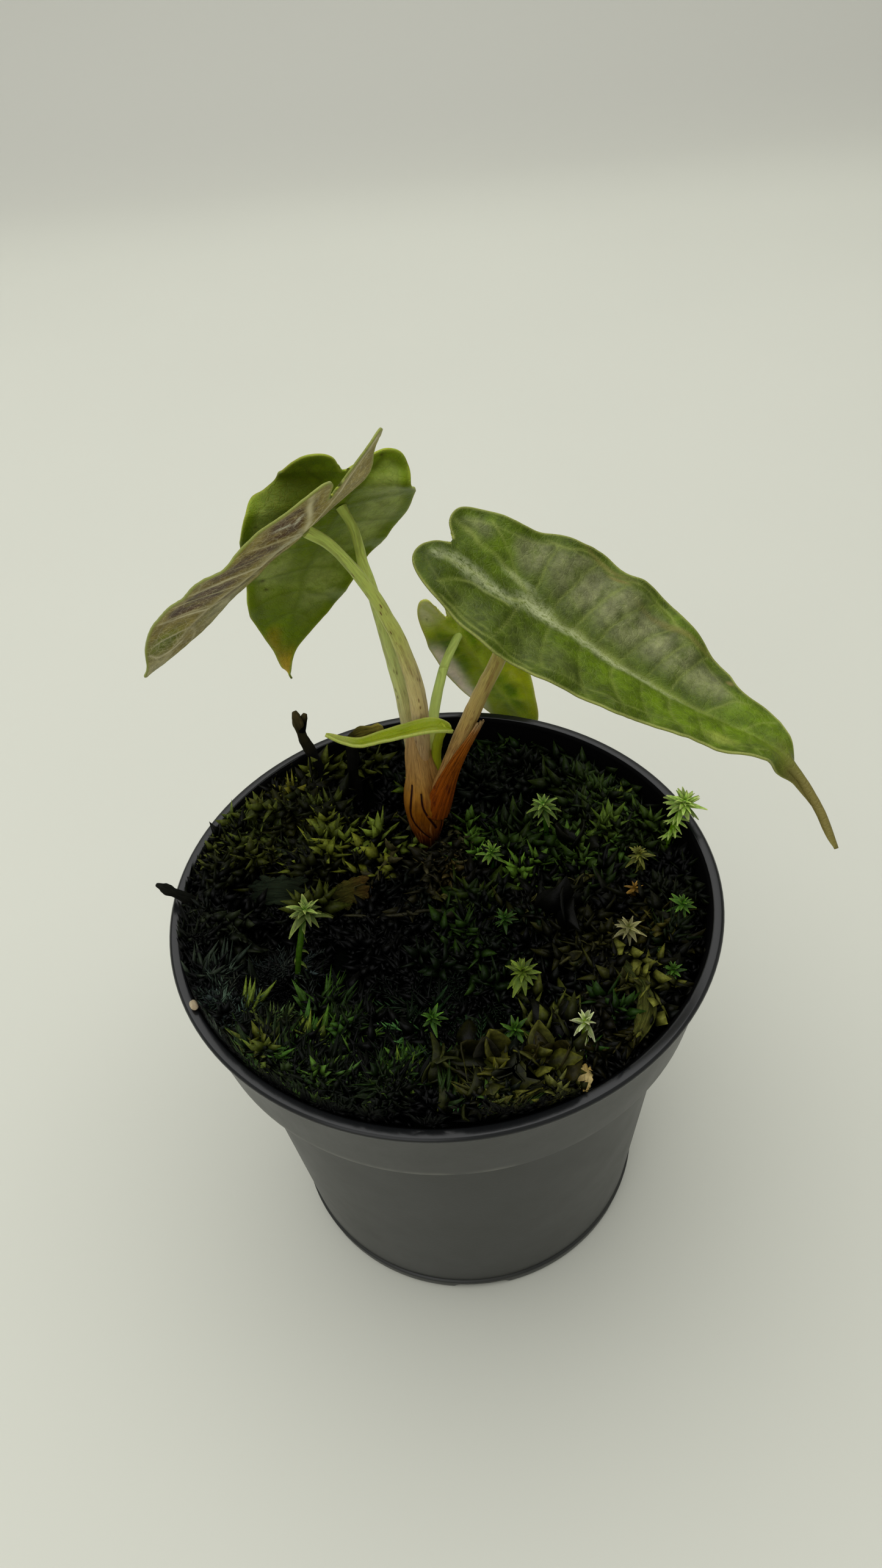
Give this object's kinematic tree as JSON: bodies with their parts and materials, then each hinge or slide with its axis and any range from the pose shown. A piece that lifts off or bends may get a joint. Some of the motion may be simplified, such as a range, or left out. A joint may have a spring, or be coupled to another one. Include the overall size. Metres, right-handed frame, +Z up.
{
  "type": "potted scorpio alocasia",
  "caption": "Young arrow-leaved aroid with quilted leaves on slender stalks, rooted in a moss bed with star-shaped shoots, in a small round tapered nursery pot.",
  "frame": {"origin": "Centre of the pot foot, on the surface that the pot stands on.", "axes": "+Z up along the pot axis. +X to the right of the long quilted leaf side, -Y toward the side that the long leaf leans over and +Y toward the small hanging leaf."},
  "size_m": [0.1019, 0.095, 0.1507],
  "materials": {
    "pot_plastic": "satin black moulded plastic with a glossy rim lip",
    "moss": "deep green matted moss, nearly black in the gaps",
    "moss_star": "yellow-green pointed moss leaves",
    "moss_star_pale": "moss leaves bleached nearly white",
    "stem": "orange-brown papery stem base with dark red cracks",
    "sheath": "dry orange-brown fibrous sheath, crimson at its foot",
    "leaf_underside": "satin mauve-brown leaf underside with pale veins, green margin",
    "leaf_back": "translucent green leaf with darker midrib",
    "leaf_quilted": "dark green quilted leaf with a silvery midrib and pale veins",
    "leaf_small": "yellow-green young leaf",
    "leaf_new": "bright yellow-green rolled new leaf and its stalk",
    "stalk_tan": "pinkish tan leaf stalk with brown specks",
    "stalk_green": "pale green leaf stalk",
    "dry_plant": "dark dry plant stalk",
    "flake": "grey-brown bark flake",
    "dry_pale": "pale straw-coloured dry scrap"
  },
  "bodies": {
    "root": {"pot": "pot_plastic", "stem_base": "stem", "sheath": "sheath", "leaf_left": "leaf_underside", "stalk_left": "stalk_tan", "leaf_back": "leaf_back", "stalk_back": "stalk_green", "leaf_right": "leaf_quilted", "stalk_right": "stalk_tan", "leaf_small": "leaf_small", "stalk_small": "stalk_green", "leaf_new": "leaf_new", "stalk_new": "leaf_new", "moss_shoot_01": "moss_star", "moss_shoot_02": "moss_star", "moss_shoot_03": "moss_star", "moss_shoot_04": "moss_star_pale", "moss_shoot_05": "moss_star_pale", "moss_shoot_06": "moss_star", "moss_shoot_07": "moss_star_pale", "moss_shoot_08": "moss_star", "moss_shoot_09": "moss_star", "moss_shoot_10": "moss_star", "moss_shoot_11": "moss_star", "moss_shoot_12": "moss_star", "moss_shoot_13": "moss_star", "moss_shoot_14": "moss_star", "twig_over_rim": "dry_plant", "forked_dry_stalk": "dry_plant", "dry_stalk": "dry_plant", "grey_flake": "flake", "brown_flake": "flake", "front_scrap": "dry_pale", "dry_leaf": "dry_plant", "seed": "dry_pale", "moss_bed": "moss"}
  },
  "joints": []
}
